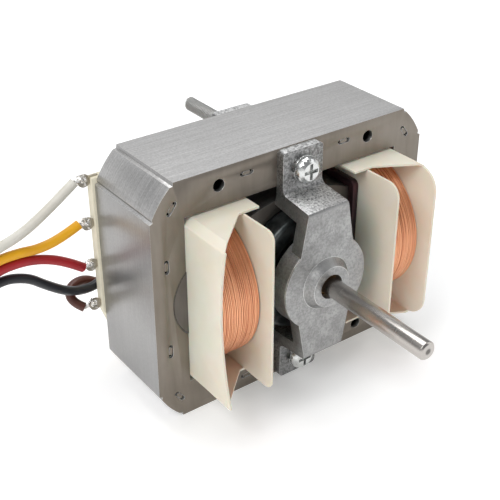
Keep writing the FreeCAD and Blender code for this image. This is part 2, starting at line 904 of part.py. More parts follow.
def patterned(owner, feature, count):
    turn = owner.newObject("PartDesign::PolarPattern", f"{owner.Name}_pattern")
    turn.Originals = [feature]
    axes = owner.Origin.OriginFeatures
    turn.Axis = (next(a for a in axes if a.Role == "Y_Axis"), [""])
    turn.Angle = 360
    bind(turn, "Occurrences", count)
    owner.Tip = turn


def make_rotor():
    r = rotor_radius
    core = plate(
        "rotor_iron", "XZ_Plane", [], d.stack_depth,
        circles=[((size(0), size(0)), r), ((size(0), size(0)), d.journal_diameter / 2)], reverse=True,
    )
    slot = sketch_on(core, "XZ_Plane")
    draw_loop(slot, bar_outline())
    pocket = core.newObject("PartDesign::Pocket", "rotor_slot")
    pocket.Profile = slot
    pocket.Reversed = False
    bind(pocket, "Length", d.stack_depth)
    core.Tip = pocket
    patterned(core, pocket, d.slots)
    node(core, "rotor_core")
    bars = body("bars")
    bar = sketch_on(bars, "XZ_Plane")
    draw_loop(bar, bar_outline())
    one = pad(bars, bar, d.stack_depth, reverse=True)
    patterned(bars, one, d.slots)
    outer, inner, long = r - d.end_ring_step, r - d.end_ring_width, d.end_ring_length
    c = d.end_ring_round
    k = c * (1 - math.sqrt(0.5))
    front = turned("front_end_ring", [
        (size(0), inner), (-long, inner + 1), (-long, outer - c),
        (-long + c, outer, (-long + k, outer - k), c), (size(0), outer),
    ])
    back = turned("rear_end_ring", [
        (d.stack_depth, inner), (d.stack_depth, outer), (d.stack_depth + long - c, outer),
        (d.stack_depth + long, outer - c, (d.stack_depth + long - k, outer - k), c),
        (d.stack_depth + long, inner + 1),
    ])
    node(fuse(bars, front, back), "rotor_cage")


def make_spacers():
    """On each side, a steel spacer on the shaft and a thin thrust washer that meets the bearing."""
    gap = d.arm_face - d.bearing_set_back - d.bearing_length / 2
    long = gap - d.thrust_thickness - d.end_play
    r = d.journal_diameter / 2
    for side, y in (("front", -long), ("rear", d.stack_depth)):
        node(ring(d.spacer_diameter / 2, r, long, (0, y, 0)), f"{side}_shaft_spacer")
    thrust = d.thrust_thickness
    for side, y in (("front", -long - thrust), ("rear", d.stack_depth + long)):
        node(ring(d.spacer_diameter / 2 + 0.6, r, thrust, (0, y, 0)), f"{side}_thrust_washer")


# Terminal board behind the left edge of the stack, with four solder eyes

board_side = half_width + d.board_overhang
board_top = half_height - d.board_below_top
board_bottom = board_top - d.board_height
board_middle = board_top - d.board_height / 2
terminal_top = board_top - d.terminal_inset
terminal_levels = [terminal_top - step * d.terminal_pitch for step in range(4)]
eye_x = -board_side - d.eye_offset
eye_y = d.stack_depth + d.board_thickness / 2


def tongue_boxes(extra):
    """Two tongues on the board that clip through the outer flange of the left bobbin."""
    y0, y1 = d.stack_depth + 0.8 - extra, d.stack_depth + d.board_thickness - 0.8 + extra
    half = d.tongue_height / 2
    boxes = []
    for sz in (-1, 1):
        level = board_middle + sz * d.tongue_level
        z0, z1 = level - half - extra, level + half + extra
        boxes.append(span((-flange_outer, y0, z0), (-flange_outer + d.wall, y1, z1)))
    return boxes


def make_board():
    left, right = -board_side, -flange_outer
    outline = [
        (right, board_bottom), (right, board_top), (left, board_top),
        (left, board_bottom + d.board_taper_height),
        (left + d.board_taper, board_bottom),
    ]
    sheet_part = plate(
        "board", "XZ_Plane", [outline], d.board_thickness, at=(0, d.stack_depth, 0), reverse=True,
    )
    slots = []
    t = d.eye_thickness
    for z in terminal_levels:
        slots.append(span((left, eye_y - t / 2, z - 1.2), (left + 3, eye_y + t / 2, z + 1.2)))
    node(fuse(cut(sheet_part, *slots), *tongue_boxes(size(0))), "terminal_board")


def make_terminals():
    """Tinned solder eyes, each on a tag that is pressed into the edge of the board."""
    left, t = -board_side, d.eye_thickness
    eyes = []
    for z in terminal_levels:
        tag = span((eye_x, eye_y - t / 2, z - 1.2), (left + 3, eye_y + t / 2, z + 1.2))
        eye = rod(d.eye_diameter / 2, t, (eye_x, eye_y - t / 2, z))
        hole = rod(d.eye_hole / 2, t, (eye_x, eye_y - t / 2, z))
        eyes.append(cut(fuse(tag, eye), hole))
    node(group(*eyes), "terminals")


# Leads: four run from the board to one connector lying on the floor, and a short fifth loops back

WIRES = ("white", "yellow", "red", "black")
lead_r = (d.lead_diameter / 2).value
floor = -half_height.value
tip_x, tip_y = eye_x.value, eye_y.value
bobbin_face = -flange_outer.value


unit = d.route_unit.value


def at_eye(step, dx, dy, dz):
    """A point given from the centre of one of the four eyes."""
    level = terminal_levels[step].value
    return (tip_x + dx * unit, tip_y + dy * unit, level + dz * unit)


def first_stretch(step):
    """How each lead leaves the board, before the four of them run as one row."""
    if step == 0:
        return [at_eye(0, -3.2, 0, 0.5), at_eye(0, -12.3, 0, -5.8), at_eye(0, -22.6, 0, -11.8)]
    if step == 1:
        return [
            at_eye(1, -3.0, 0, 0.8), at_eye(1, -9.6, 0, -2.0),
            at_eye(1, -17.6, 0, -3.3), at_eye(1, -24.6, 0, -2.3),
        ]
    if step == 2:
        return [
            at_eye(2, -3.1, 0, 0.1), at_eye(2, -9.0, 0, 4.6),
            at_eye(2, -16.6, 0, 8.3), at_eye(2, -24.0, 0, 9.9),
        ]
    behind = d.stack_depth.value + d.board_thickness.value + lead_r + 0.3
    return [
        (bobbin_face - 0.02, behind + 1.0 * unit, terminal_levels[3].value + 7.6 * unit),
        (bobbin_face - 5.2 * unit, behind + 1.0 * unit, terminal_levels[3].value + 7.6 * unit),
        (bobbin_face - 12.1 * unit, behind + 0.1 * unit, terminal_levels[3].value + 4.6 * unit),
        at_eye(3, -3.1, 3.0, 5.0),
        at_eye(3, -9.1, 1.3, 7.9),
        at_eye(3, -16.2, 0.3, 13.4),
        at_eye(3, -22.8, 0.1, 19.2),
    ]


def row_point(step, x, y, z, across, down, gap=d.lead_pitch):
    """A point of the row of leads: the place of the first lead, and the way to the next one."""
    pitch = gap.value * step
    return (tip_x + x * unit + pitch * across, tip_y + y * unit, z + pitch * down)


def falling_stretch(step):
    """The row bends over and drops from the height of the board to the floor."""
    top = terminal_levels[0].value
    drop = top - floor
    low = floor + 7.2 * unit
    return [
        row_point(step, -33.1, 0.2, top - 0.19 * drop, 0.1, -1.0),
        row_point(step, -44.6, 0.5, top - 0.265 * drop, 0.3, -0.95),
        row_point(step, -56.1, 1.3, top - 0.389 * drop, 0.74, -0.67),
        row_point(step, -64.1, 2.8, top - 0.558 * drop, 0.91, -0.41),
        row_point(step, -68.6, 5.8, (top - 0.558 * drop + low) / 2 - 1.0 * unit, 0.99, -0.12),
        row_point(step, -72.2, 12.8, low, 1.0, 0.0, d.plug_pitch),
        row_point(step, -73.1, 22.8, floor + lead_r, 1.0, 0.0, d.plug_pitch),
    ]


turn_x, turn_y = tip_x - 45.1 * unit, tip_y + 26.3 * unit
plug_x, plug_y = tip_x - 41.6 * unit, turn_y + d.turn_radius.value
plug_z = floor + d.plug_height.value / 2


def floor_stretch(step):
    """A quarter turn on the floor in three bends, then into the back of the connector."""
    spread = d.plug_pitch.value * step
    radius = d.turn_radius.value - spread
    side = radius * math.tan(math.radians(15))
    corner = radius / math.cos(math.radians(15)) * math.sqrt(0.5)
    level = floor + lead_r
    return [
        (turn_x - radius, turn_y + side, level),
        (turn_x - corner, turn_y + corner, level),
        (turn_x - side, turn_y + radius, level),
        (plug_x + d.plug_pocket.value, plug_y - spread, plug_z),
    ]


def jumper_route():
    """The short fifth lead, from the lowest eye round behind the board to the left bobbin."""
    return [
        at_eye(3, -3.6, 1.1, -0.6),
        at_eye(3, -7.0, 3.5, 1.5),
        at_eye(3, -5.8, 7.2, 4.9),
        at_eye(3, 0.1, 8.6, 5.6),
        at_eye(3, 5.6, 8.0, 2.4),
        (bobbin_face - 5.0 * unit, tip_y + 7.1 * unit, terminal_levels[3].value - 0.3 * unit),
        (bobbin_face - 0.02, tip_y + 7.1 * unit, terminal_levels[3].value - 0.3 * unit),
    ]


def rounded_path(points):
    """Straight runs joined by tangent arcs, as one wire; also gives the radii of the arcs."""
    spots = [FreeCAD.Vector(*p) for p in points]
    edges, radii = [], []
    last = spots[0]
    for before, here, after in zip(spots, spots[1:], spots[2:]):
        back = (before - here).normalize()
        on = (after - here).normalize()
        half_turn = (math.pi - back.getAngle(on)) / 2
        shorter = min((before - here).Length, (after - here).Length)
        reach = 0.45 * shorter
        radius = reach / math.tan(half_turn)
        start, end = here + back * reach, here + on * reach
        inward = (back + on).normalize()
        middle = here + inward * (radius / math.cos(half_turn) - radius)
        edges.append(Part.LineSegment(last, start).toShape())
        edges.append(Part.Arc(start, middle, end).toShape())
        radii.append(radius)
        last = end
    edges.append(Part.LineSegment(last, spots[-1]).toShape())
    return Part.Wire(edges), radii


def make_lead(label, points):
    wire, radii = rounded_path(points)
    start = FreeCAD.Vector(*points[0])
    along = FreeCAD.Vector(*points[1]) - start
    circle = Part.Wire([Part.makeCircle(lead_r, start, along)])
    tube = wire.makePipeShell([circle], True, False)
    lead = doc.addObject("Part::Feature", f"{label}_tube")
    lead.Shape = tube
    lead.Placement = FreeCAD.Placement()
    section = math.pi * lead_r ** 2 * wire.Length
    radii_text = " ".join(f"{radius:.1f}" for radius in radii)
    print(f"{label}: length {wire.Length:.1f}, arc radii {radii_text}")
    print(f"{label}: volume {tube.Volume:.1f} against section times length {section:.1f}")
    node(lead, label)


def make_soldered_ends(starts):
    """Tinned conductor ends, each from the cut insulation into its eye, with a drop of solder."""
    ends = []
    for z, (start, after) in zip(terminal_levels, starts):
        eye = FreeCAD.Vector(tip_x, tip_y, z.value)
        there = FreeCAD.Vector(*start)
        lean = (there - eye).getAngle(FreeCAD.Vector(*after) - there)
        stub = doc.addObject("Part::Cylinder", "stub")
        bind(stub, "Radius", d.tail_diameter / 2)
        stub.Height = (there - eye).Length - d.tail_diameter.value / 2 * math.tan(lean)
        turn = FreeCAD.Rotation(FreeCAD.Vector(0, 0, 1), there - eye)
        stub.Placement = FreeCAD.Placement(eye, turn)
        drop = doc.addObject("Part::Sphere", "drop")
        bind(drop, "Radius", d.eye_hole / 2 + 0.5)
        drop.Placement.Base = eye
        ends.append(fuse(stub, drop))
    node(group(*ends), "soldered_ends")


def make_connector():
    """Four-way nylon housing: wire pockets behind, contact windows in front, ribs and a latch."""
    pitch, wall = d.plug_pitch, d.plug_wall
    x, y, z = size(plug_x), size(plug_y), size(plug_z)
    height, length = d.plug_height, d.plug_length
    low_y = y - 3.5 * pitch - wall
    width = 4 * pitch + 2 * wall
    shell = box(length, width, height, at=(x, low_y, -half_height))
    openings, ribs = [], []
    for step in range(4):
        way = y - step * pitch
        pocket = doc.addObject("Part::Cylinder", "pocket")
        bind(pocket, "Radius", d.lead_diameter / 2 + 0.25)
        bind(pocket, "Height", d.plug_pocket)
        pocket.Placement.Rotation = FreeCAD.Rotation(FreeCAD.Vector(0, 1, 0), 90)
        openings.append(move(pocket, x, way, z))
        openings.append(box(6, 2.6, 3.0, at=(x + length - 6, way - 1.3, z - 1.5)))
    for step in (0, 3):
        way = y - step * pitch
        ribs.append(box(length - 4, 1.2, 0.7, at=(x + 4, way - 0.6, height - half_height)))
    middle = y - 1.5 * pitch
    ribs.append(box(length - 2, 5, 1.0, at=(x + 1, middle - 2.5, height - half_height + 0.9)))
    ribs.append(box(2.5, 5, 1.9, at=(x + length - 5, middle - 2.5, height - half_height)))
    ribs.append(box(1.5, 5, 0.9, at=(x + length - 3, middle - 2.5, height - half_height + 1.9)))
    node(cut(fuse(shell, *ribs), *openings), "lead_connector")


def make_leads():
    starts = []
    for step, colour in enumerate(WIRES):
        points = first_stretch(step) + falling_stretch(step) + floor_stretch(step)
        make_lead(f"{colour}_lead", points)
        starts.append(points[:2])
    jumper = jumper_route()
    make_lead("brown_lead", jumper)
    starts[3] = jumper[:2]
    make_soldered_ends(starts)
    make_connector()


make_yoke()
make_pole_core()
make_shading_ring("right_shading_ring", 1)
make_shading_ring("left_shading_ring", -1)
make_bobbin("left_bobbin", -1, tongue_boxes(size(0)))
make_bobbin("right_bobbin", 1)
make_coil("left_coil", -1)
make_coil("right_coil", 1)
make_bracket("front_bracket", False)
make_bracket("rear_bracket", True)
make_bearing_set("front", -1)
make_bearing_set("rear", 1)
make_bolts()
make_shaft()
make_rotor()
make_spacers()
make_board()
make_terminals()
make_leads()
doc.recompute()

os.makedirs("parts", exist_ok=True)
for thing in doc.Objects:
    if "Invalid" in thing.State or "Error" in thing.State:
        raise RuntimeError(f"{thing.Label} failed: {thing.State}")
for thing in nodes:
    shape = thing.Shape
    if shape.isNull() or not shape.isValid() or not shape.Solids:
        raise RuntimeError(f"{thing.Label} has no valid solid")
    shape.exportStep(f"parts/{thing.Label}.step")
    box_ = shape.BoundBox
    print(f"{thing.Label}: {len(shape.Solids)} solids, volume {shape.Volume:.0f}")
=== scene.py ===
import bmesh
import bpy
import math
import random
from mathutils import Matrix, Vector, noise


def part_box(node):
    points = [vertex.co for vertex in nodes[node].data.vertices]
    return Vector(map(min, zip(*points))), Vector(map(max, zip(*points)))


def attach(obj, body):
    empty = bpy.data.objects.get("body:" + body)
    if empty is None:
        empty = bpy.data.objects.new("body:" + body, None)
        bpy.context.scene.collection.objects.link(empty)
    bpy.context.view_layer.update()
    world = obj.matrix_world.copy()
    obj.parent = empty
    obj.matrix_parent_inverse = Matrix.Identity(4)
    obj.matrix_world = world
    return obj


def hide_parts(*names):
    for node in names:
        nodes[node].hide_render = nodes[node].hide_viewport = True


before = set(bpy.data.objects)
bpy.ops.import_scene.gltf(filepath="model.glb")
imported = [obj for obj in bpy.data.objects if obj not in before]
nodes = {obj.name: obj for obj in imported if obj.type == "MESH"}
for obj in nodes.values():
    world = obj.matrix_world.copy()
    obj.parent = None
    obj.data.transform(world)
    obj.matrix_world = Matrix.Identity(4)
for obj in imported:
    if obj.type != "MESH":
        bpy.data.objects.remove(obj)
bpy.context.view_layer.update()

# Camera. It stands to the left of the motor, in front of it and above it,
# where the photograph was taken from, with a long lens and no roll.
camera_place = (-0.18037, -0.21983, 0.17470)
camera_gaze = Vector((0.50860, 0.69055, -0.51425))
bpy.ops.object.select_all(action="DESELECT")
bpy.ops.object.camera_add(location=camera_place)
camera = bpy.context.object
camera.rotation_euler = camera_gaze.to_track_quat("-Z", "Y").to_euler()
camera.data.sensor_width = 36
camera.data.lens = 71.2
camera.data.clip_start = 0.01
bpy.context.scene.camera = camera


# Leads. Five stranded hook-up wires in extruded insulation; four of them are soldered to eyes on the
# board.
# Four of them bend over as one row, drop to the table and turn into the back of the connector;
# the short brown one loops back behind the board to the left bobbin.
class Value:
    """A number, colour or vector on its way through a material's nodes."""

    def __init__(self, paint, socket):
        self.paint = paint
        self.socket = socket

    def __add__(self, other):
        return self.paint.maths("ADD", self, other)

    def __sub__(self, other):
        return self.paint.maths("SUBTRACT", self, other)

    def __mul__(self, other):
        return self.paint.maths("MULTIPLY", self, other)

    def __rsub__(self, other):
        return self.paint.maths("SUBTRACT", other, self)

    def __pow__(self, other):
        return self.paint.maths("POWER", self, other)

    def __abs__(self):
        return self.paint.maths("ABSOLUTE", self, 0.0)

    __radd__ = __add__
    __rmul__ = __mul__


class Paint:
    """One finish, built up node by node on the main shader."""

    def __init__(self, name, **constants):
        self.material = bpy.data.materials.new(name)
        self.material.use_nodes = True
        self.tree = self.material.node_tree
        self.shader = self.tree.nodes["Principled BSDF"]
        for socket, value in constants.items():
            self.shader.inputs[socket.replace("_", " ")].default_value = value
        self.place = self.node("ShaderNodeTexCoord", out="Object")

    def node(self, kind, settings=None, inputs=None, out=0):
        """Adds a node: its settings first, then the values and links of its sockets."""
        made = self.tree.nodes.new(kind)
        for name, value in (settings or {}).items():
            setattr(made, name, value)
        for socket, value in (inputs or {}).items():
            if isinstance(value, Value):
                self.tree.links.new(value.socket, made.inputs[socket])
            else:
                made.inputs[socket].default_value = value
        return Value(self, made.outputs[out])

    def maths(self, operation, a, b):
        return self.node("ShaderNodeMath", {"operation": operation}, {0: a, 1: b})

    def axes(self, vector):
        """The X, Y and Z parts of a vector."""
        parts = self.node("ShaderNodeSeparateXYZ", inputs={0: vector})
        return [Value(self, socket) for socket in parts.socket.node.outputs]

    def noise(self, scale, detail=2.0, stretch=(1, 1, 1), roughness=0.5):
        """Cloudy noise in the piece's own space, drawn out where stretch is uneven."""
        at = self.node("ShaderNodeMapping", inputs={"Vector": self.place, "Scale": stretch})
        return self.node("ShaderNodeTexNoise", inputs={
            "Vector": at, "Scale": scale, "Detail": detail, "Roughness": roughness,
        })

    def mask(self, value, low, high):
        """0 below low, 1 above high, and an even slope between them."""
        return self.node("ShaderNodeMapRange", inputs={
            "Value": value, "From Min": low, "From Max": high, "To Min": 0.0, "To Max": 1.0,
        })

    def mix(self, factor, a, b):
        """Colour a at factor 0, colour b at factor 1."""
        a, b = ((*c, 1) if isinstance(c, tuple) else c for c in (a, b))
        return self.node("ShaderNodeMix", {"data_type": "RGBA"}, {0: factor, 6: a, 7: b}, out=2)

    def feed(self, **links):
        """Leads values into the main shader's sockets."""
        for socket, value in links.items():
            self.tree.links.new(value.socket, self.shader.inputs[socket.replace("_", " ")])
        return self

    def bump(self, height, distance, strength=1.0):
        normal = self.node("ShaderNodeBump", inputs={
            "Height": height, "Distance": distance, "Strength": strength,
        })
        return self.feed(Normal=normal)


def insulation(name, colour, darker, shine=0.42):
    """Extruded plastic: faint drag lines, finger marks and a soft shine."""
    paint = Paint(name, Roughness=shine, IOR=1.5)
    smear = paint.noise(140, 3)
    grain = paint.noise(1500, 2)
    paint.feed(Base_Color=paint.mix(paint.mask(smear, 0.35, 0.75), colour, darker))
    paint.feed(Roughness=shine - 0.08 + smear * 0.18)
    return paint.bump(grain, 0.00004)


def give(obj, paint):
    """Puts one finish on the whole of a piece."""
    obj.data.materials.clear()
    obj.data.materials.append(paint.material)


lead_diameter = 0.0032


def lead(colour, points, paint):
    """One lead along its points, which are given in millimetres."""
    curve = bpy.data.curves.new(f"{colour}_lead_wire", "CURVE")
    curve.dimensions = "3D"
    spline = curve.splines.new("NURBS")
    spline.points.add(len(points) - 1)
    for point, (x, y, z) in zip(spline.points, points):
        point.co = (x / 1000, y / 1000, z / 1000, 1)
    spline.order_u = 3
    spline.use_endpoint_u = True
    spline.resolution_u = 12
    curve.bevel_depth = lead_diameter / 2
    curve.bevel_resolution = 5
    curve.use_fill_caps = True
    wire = bpy.data.objects.new(f"{colour}_lead_wire", curve)
    bpy.context.scene.collection.objects.link(wire)
    give(wire, paint)
    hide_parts(f"{colour}_lead")
    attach(wire, "stator")
    return wire


white_paint = insulation("white_insulation", (0.64, 0.62, 0.56), (0.56, 0.53, 0.46))
yellow_paint = insulation("yellow_insulation", (0.84, 0.42, 0.006), (0.76, 0.34, 0.004))
red_paint = insulation("red_insulation", (0.40, 0.010, 0.016), (0.30, 0.007, 0.012))
black_paint = insulation("black_insulation", (0.010, 0.011, 0.016), (0.006, 0.007, 0.010), 0.34)
brown_paint = insulation("brown_insulation", (0.105, 0.030, 0.020), (0.065, 0.018, 0.012), 0.36)

white_route = [
    (-61.1, 34.7, 34.1), (-70.2, 34.7, 27.8), (-80.5, 34.7, 21.8), (-91.0, 34.9, 18.9),
    (-102.5, 35.2, 13.1), (-114.0, 36.0, 3.5), (-122.0, 37.5, -9.5), (-126.5, 40.5, -24.0),
    (-130.1, 47.5, -36.5), (-131.0, 57.5, -42.1), (-131.0, 68.5, -42.1), (-123.5, 81.5, -42.1),
    (-110.5, 89.0, -42.1), (-97.0, 89.0, -40.4),
]
yellow_route = [
    (-60.9, 34.7, 18.9), (-67.5, 34.7, 16.1), (-75.5, 34.7, 14.8), (-82.5, 34.7, 15.8),
    (-90.7, 34.9, 15.4), (-101.5, 35.2, 9.8), (-111.4, 36.0, 1.2), (-118.8, 37.5, -11.0),
    (-123.0, 40.5, -24.4), (-126.1, 47.5, -36.5), (-127.0, 57.5, -42.1), (-127.0, 67.4, -42.1),
    (-120.6, 78.6, -42.1), (-109.4, 85.0, -42.1), (-97.0, 85.0, -40.4),
]
red_route = [
    (-61.0, 34.7, 2.7), (-66.9, 34.7, 7.2), (-74.5, 34.7, 10.9), (-81.9, 34.7, 12.5),
    (-90.3, 34.9, 11.9), (-100.4, 35.2, 6.5), (-108.8, 36.0, -1.2), (-115.6, 37.5, -12.4),
    (-119.6, 40.5, -24.9), (-122.1, 47.5, -36.5), (-123.0, 57.5, -42.1), (-123.0, 66.4, -42.1),
    (-117.6, 75.6, -42.1), (-108.4, 81.0, -42.1), (-97.0, 81.0, -40.4),
]
black_route = [
    (-42.9, 39.3, -5.3), (-48.1, 39.3, -5.3), (-55.0, 38.4, -8.3), (-61.0, 37.7, -7.9),
    (-67.0, 36.0, -5.0), (-74.1, 35.0, 0.5), (-80.7, 34.8, 6.3), (-90.0, 34.9, 8.4),
    (-99.3, 35.2, 3.1), (-106.2, 36.0, -3.5), (-112.4, 37.5, -13.8), (-116.1, 40.5, -25.3),
    (-118.1, 47.5, -36.5), (-119.0, 57.5, -42.1), (-119.0, 65.3, -42.1), (-114.7, 72.7, -42.1),
    (-107.3, 77.0, -42.1), (-97.0, 77.0, -40.4),
]
brown_route = [
    (-61.5, 35.8, -13.5), (-64.9, 38.2, -11.4), (-63.7, 41.9, -8.0), (-57.8, 43.3, -7.3),
    (-52.3, 42.7, -10.5), (-47.9, 41.8, -13.2), (-42.9, 41.8, -13.2),
]
plug = nodes["lead_connector"]
lead("white", white_route, white_paint)
lead("yellow", yellow_route, yellow_paint)
lead("red", red_route, red_paint)
lead("black", black_route, black_paint)
lead("brown", brown_route, brown_paint)

nylon = Paint("white_nylon", Roughness=0.45, IOR=1.53, Subsurface_Weight=0.1, Subsurface_Scale=0.002)
cloud = nylon.noise(260, 2)
nylon.feed(Base_Color=nylon.mix(cloud, (0.80, 0.79, 0.74), (0.70, 0.69, 0.63)))
nylon.bump(nylon.noise(1800, 2), 0.00003)
give(plug, nylon)


# Solder eyes and soldered ends. Tinned brass eyes pressed into the edge of the board,
# each with the twisted strands of a lead hooked into it under an uneven drop of solder.
tin = Paint("tinned_metal", Metallic=1.0)
dull = tin.noise(900, 3)
tin.feed(Base_Color=tin.mix(dull, (0.66, 0.62, 0.54), (0.30, 0.26, 0.20)))
tin.feed(Roughness=0.20 + dull * 0.3)
tin.bump(tin.noise(1100, 2), 0.00008)
solder = Paint("solder", Metallic=1.0)
cooled = solder.noise(600, 4)
solder.feed(Base_Color=solder.mix(
    solder.mask(cooled, 0.4, 0.6), (0.92, 0.91, 0.89), (0.52, 0.50, 0.46),
))
solder.feed(Roughness=0.10 + cooled * 0.22)
solder.bump(solder.noise(1500, 3), 0.00006)
give(nodes["terminals"], tin)
top_eye = Vector((-0.0579, 0.0347, 0.0336))
eye_pitch = 0.0155


def alone(piece):
    """Makes a piece the only selected one, and the active one."""
    bpy.ops.object.select_all(action="DESELECT")
    piece.select_set(True)
    bpy.context.view_layer.objects.active = piece


def drawn(name, path, radius, roundness=2, capped=True):
    """A round wire through every point of a path, as a smooth mesh."""
    line = bpy.data.curves.new(name, "CURVE")
    line.dimensions = "3D"
    wire = line.splines.new("POLY")
    wire.points.add(len(path) - 1)
    for point, spot in zip(wire.points, path):
        point.co = (*spot, 1)
    line.bevel_depth = radius
    line.bevel_resolution = roundness
    line.use_fill_caps = capped
    made = bpy.data.objects.new(name, line)
    bpy.context.scene.collection.objects.link(made)
    alone(made)
    bpy.ops.object.convert(target="MESH")
    bpy.ops.object.shade_smooth()
    return bpy.context.object


def solder_drop(step, centre, middle, radius, squash):
    """An uneven drop of solder: a ball pulled out of shape, wetting the rim of its eye."""
    bpy.ops.mesh.primitive_ico_sphere_add(subdivisions=5, radius=radius)
    drop = bpy.context.object
    for vertex in drop.data.vertices:
        way = vertex.co.normalized()
        swell = noise.noise(way * 1.7 + Vector((step * 5.1, 0, 0))) * 0.42
        swell += noise.noise(way * 4.3 + Vector((0, step * 3.7, 0))) * 0.16
        vertex.co = Vector((a * b for a, b in zip(vertex.co * (1 + swell), squash)))
        vertex.co += centre + middle
    return drop


def strand(start, end, phase):
    """One tinned strand of a lead's bare end, laid up with the others in a slow twist."""
    along = end - start
    side = along.cross(Vector((0, 1, 0))).normalized()
    up = along.cross(side).normalized()
    path = []
    for at in range(24):
        share = at / 23
        turn = phase + share * 3.4
        reach = 0.00044 + 0.00005 * math.sin(phase * 5 + at * 0.6)
        sideways = side * math.cos(turn) * reach + up * math.sin(turn) * reach
        path.append(start + along * share + sideways)
    return drawn("strand", path, 0.00024)


bare_pieces = []
strands = 7
for step, route in enumerate((white_route, yellow_route, red_route, brown_route)):
    eye = top_eye - Vector((0, 0, eye_pitch * step))
    end = Vector(route[0]) / 1000
    lean = (end - eye).normalized()
    inside = end + lean * 0.0006
    for number in range(strands):
        bare_pieces.append(strand(inside, eye, 2 * math.pi * number / strands + step))
    upper = eye + Vector((0, 0, 0.0009))
    bare_pieces.append(solder_drop(step, upper, lean * 0.0006, 0.0014, (1.05, 0.9, 0.9)))
    bare_pieces.append(solder_drop(step + 7, eye, Vector((0.0003, 0, -0.0013)), 0.0007, (0.9, 1.0, 0.8)))
bpy.ops.object.select_all(action="DESELECT")
for piece in bare_pieces:
    piece.select_set(True)
bpy.context.view_layer.objects.active = bare_pieces[0]
bpy.ops.object.join()
soldered = bpy.context.object
soldered.name = "solder_and_strands"
bpy.ops.object.transform_apply(location=True, rotation=True, scale=True)
bpy.ops.object.shade_smooth()
give(soldered, solder)
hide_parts("soldered_ends")
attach(soldered, "stator")


# Lamination yoke. About sixty stamped sheets of electrical steel, held by interlock marks.
# The sheet edges show as fine lines on top and at the sides; the face is a rolled surface.
# Places from the middle of the stack: the fixing holes, the round roots of the pole core,
# and the end of the window, past which a root shows as a line.
stack_depth = 0.033
hole_out, hole_up = 0.03015, 0.0379
root_out, root_radius = 0.032, 0.016
window_end = 0.0428


def dressed(name, node, paint, body="stator", width=0.00025, segments=2, angle=35, rim=None):
    """A merged copy of a solid whose sharp edges get the small radius of the real piece."""
    piece = nodes[node].copy()
    piece.data = nodes[node].data.copy()
    piece.name = name
    bpy.context.scene.collection.objects.link(piece)
    piece.hide_set(False)
    alone(piece)
    bpy.ops.object.mode_set(mode="EDIT")
    bpy.ops.mesh.select_all(action="SELECT")
    bpy.ops.mesh.remove_doubles(threshold=0.000002)
    bpy.ops.mesh.dissolve_limited(angle_limit=math.radians(0.5))
    bpy.ops.object.mode_set(mode="OBJECT")
    give(piece, paint)
    bevel = piece.modifiers.new("edges", "BEVEL")
    if rim:
        piece.data.materials.append(rim.material)
        bevel.material = 1
    bevel.width = width
    bevel.segments = segments
    bevel.limit_method = "ANGLE"
    bevel.angle_limit = math.radians(angle)
    bevel.use_clamp_overlap = True
    bpy.ops.object.modifier_apply(modifier="edges")
    bpy.ops.object.shade_smooth_by_angle(angle=math.radians(40))
    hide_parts(node)
    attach(piece, body)
    return piece


def laminated(name, light, dark, face, worn_face, joints_and_shade=False):
    """Sheet edges as fine uneven lines across Y, with painted shade on the faces turned along X; front
    and back are a mottled rolled face.
    When the joint switch is on, the floors of marks and the walls of holes get painted shade, and a dark
    joint line runs round the pole roots."""
    paint = Paint(name, Metallic=0.9)
    way = paint.axes(paint.node("ShaderNodeNewGeometry", out="True Normal"))
    flat = paint.mask(abs(way[1]), 0.8, 0.95)
    flank_shade = paint.mask(abs(way[0]), 0.85, 0.97)
    edge_lines = paint.noise(1.0, 3, (30, 2300, 30), 0.75)
    grain = paint.noise(1700, 3)
    stain = paint.noise(42, 4)
    rolled = paint.noise(1.0, 3, (420, 420, 70))
    tone = paint.mask(edge_lines * 0.6 + grain * 0.4, 0.3, 0.7)
    colour = paint.mix(tone, dark, light)
    colour = paint.mix(paint.mask(stain, 0.45, 0.8) * 0.25, colour, dark)
    plane = paint.mix(paint.mask(stain * 0.7 + rolled * 0.3, 0.35, 0.65), face, worn_face)
    # Painted shade: faces turned along X get a darker copy of the sheet-edge tone.
    colour = paint.mix(flank_shade * 0.65, colour, tuple(0.6 * part for part in dark))
    colour = paint.mix(flat, colour, plane)
    if joints_and_shade:
        x, y, z = paint.axes(paint.place)
        out, up = abs(x), abs(z)
        shade = (0.012, 0.011, 0.010)
        # Painted shade in the recesses: the floors of the interlock marks and the walls of the fixing
        # holes darken with depth. The line round the roots is a real dark joint.
        sunk = stack_depth / 2 - abs(y - stack_depth / 2)
        colour = paint.mix(paint.mask(sunk, 0.0003, 0.0006) * flat, colour, shade)
        bore = ((out - hole_out) ** 2 + (up - hole_up) ** 2) ** 0.5
        bored = 1.0 - paint.mask(bore, 0.0022, 0.0023)
        colour = paint.mix(bored * paint.mask(sunk, 0.0001, 0.002), colour, shade)
        root = ((out - root_out) ** 2 + up ** 2) ** 0.5
        gap = 1.0 - paint.mask(abs(root - root_radius), 0.0001, 0.00026)
        gap = gap * paint.mask(out, window_end - 0.0001, window_end + 0.0001) * flat
        colour = paint.mix(gap, colour, (0.02, 0.018, 0.016))
    paint.feed(Base_Color=colour)
    paint.feed(Roughness=0.30 + edge_lines * 0.08 + stain * 0.12 + flat * 0.10 - flank_shade * 0.06)
    return paint.bump(edge_lines * 0.5 + grain * 0.5, 0.00003)


